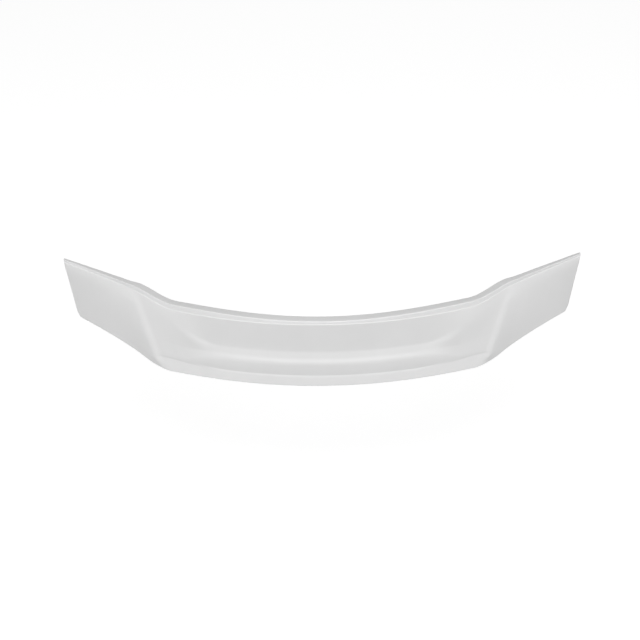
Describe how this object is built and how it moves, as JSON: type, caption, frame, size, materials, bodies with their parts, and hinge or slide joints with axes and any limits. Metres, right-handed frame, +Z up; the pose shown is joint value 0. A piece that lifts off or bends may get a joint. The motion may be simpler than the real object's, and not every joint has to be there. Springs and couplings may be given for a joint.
{
  "type": "rear spoiler",
  "caption": "White moulded boot lid spoiler: a thin open shell with a swept-up rear lip, a recessed rear face and swept wings, bonded over the lid's rear edge.",
  "frame": {"origin": "on the centre plane at the boot lid's rear edge, inside the hollow, where the shell is bonded over the lid", "axes": "+X to the car's right, +Y forward on the car, +Z up; the lip and the rear face look towards -Y"},
  "size_m": [1.1092, 0.3189, 0.1414],
  "materials": {
    "white_plastic": "smooth satin white moulding"
  },
  "bodies": {
    "root": {"spoiler": "white_plastic"}
  },
  "joints": []
}
